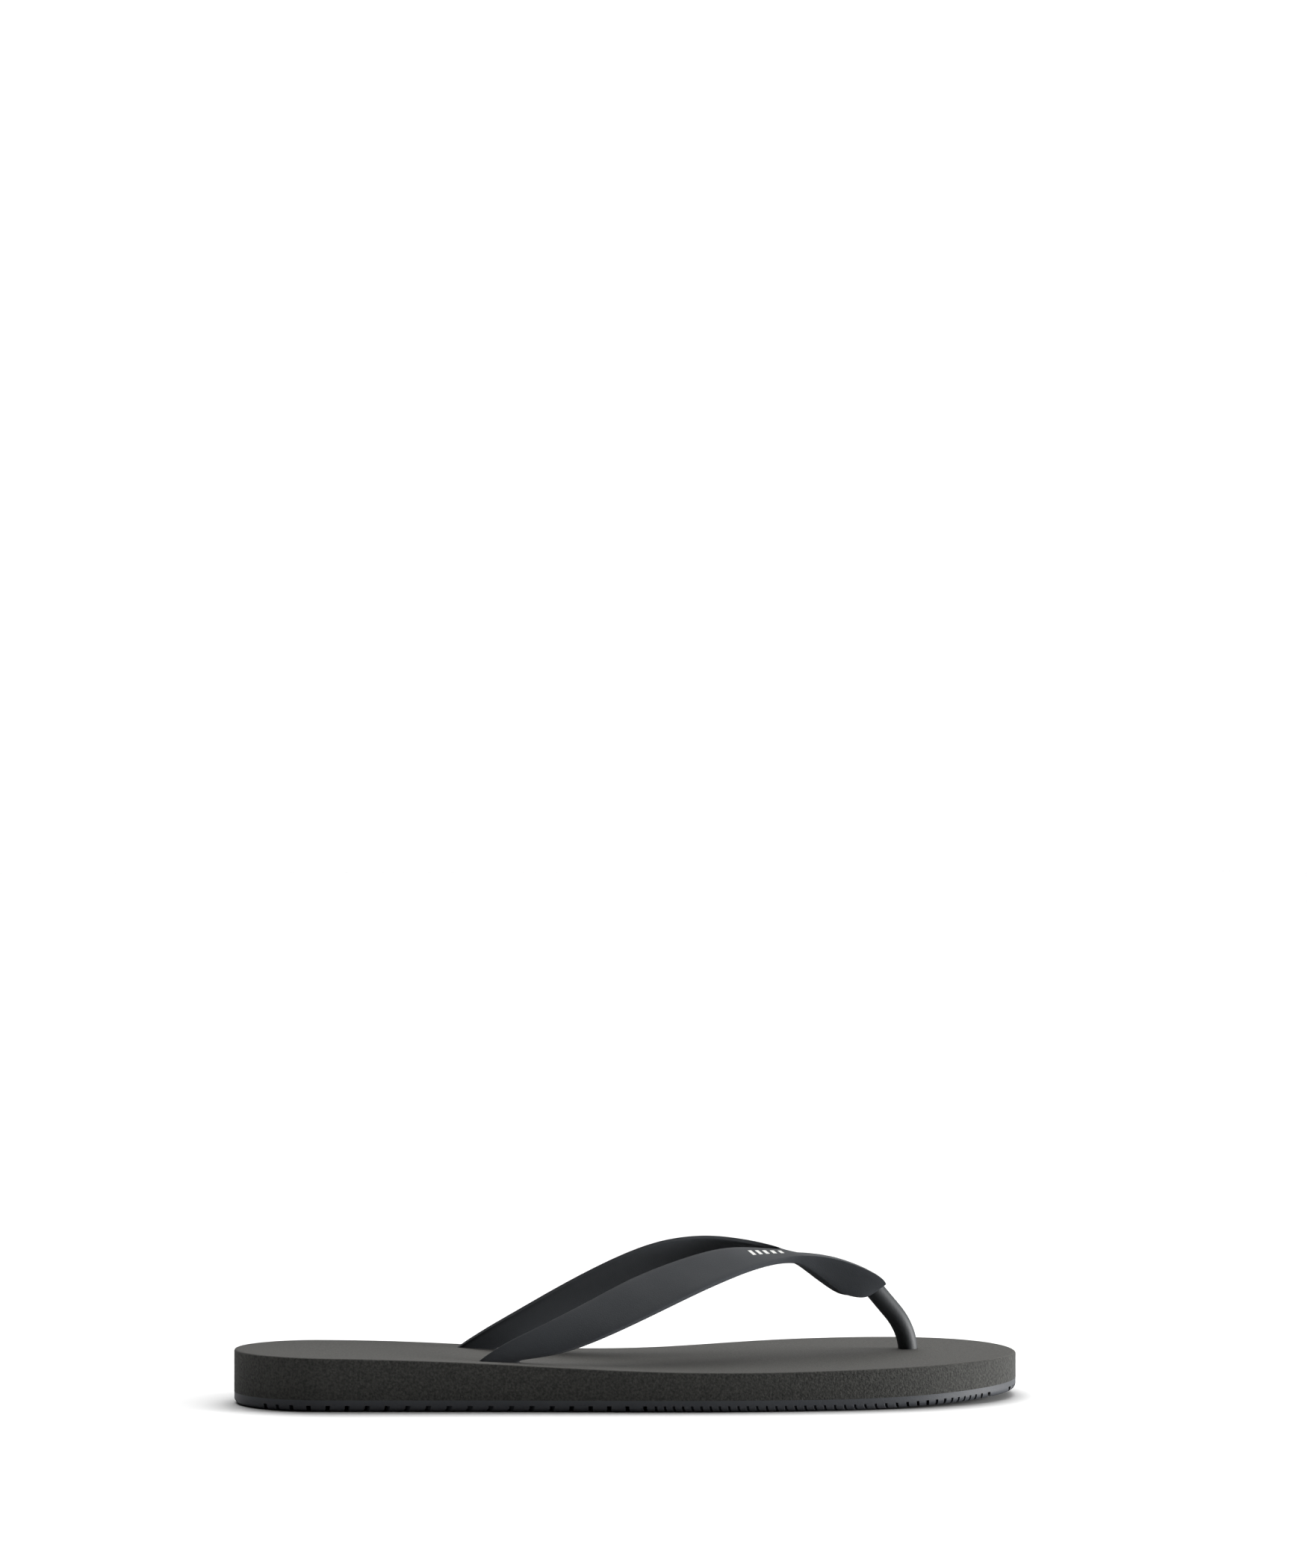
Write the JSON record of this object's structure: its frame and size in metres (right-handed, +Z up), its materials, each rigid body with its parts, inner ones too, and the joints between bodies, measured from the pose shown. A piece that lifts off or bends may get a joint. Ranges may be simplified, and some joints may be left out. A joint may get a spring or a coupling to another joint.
{
  "type": "flip flop",
  "caption": "Right-foot thong sandal: foam footbed on a thin rubber outsole, with a Y-shaped strap and toe post held by plugs under the sole.",
  "frame": {"origin": "on the ground under the middle of the sole's length and width", "axes": "+X along the sole from heel to toe, +Y to the big-toe (medial) side, +Z up"},
  "size_m": [0.28, 0.1056, 0.0556],
  "materials": {
    "footbed_foam": "matte, fine-grained closed-cell foam",
    "outsole_rubber": "satin dense rubber",
    "strap_rubber": "matte moulded rubber",
    "post_rubber": "smooth satin rubber",
    "plug_rubber": "smooth satin rubber"
  },
  "bodies": {
    "forefoot": {"footbed_fore": "footbed_foam", "outsole_fore": "outsole_rubber", "toe_post": "post_rubber", "toe_plug": "plug_rubber"},
    "rearfoot": {"footbed_rear": "footbed_foam", "outsole_rear": "outsole_rubber", "strap": "strap_rubber", "lateral_plug": "plug_rubber", "medial_plug": "plug_rubber"}
  },
  "joints": [
    {"name": "ball_flex", "type": "hinge", "parent": "forefoot", "child": "rearfoot", "pos_m": [0.0495, 0, 0.0156], "axis": [0.3619, 0.9322, 0], "range_deg": [0, 35], "stiffness_Nm_per_rad": 1, "deforming": ["strap"]}
  ]
}
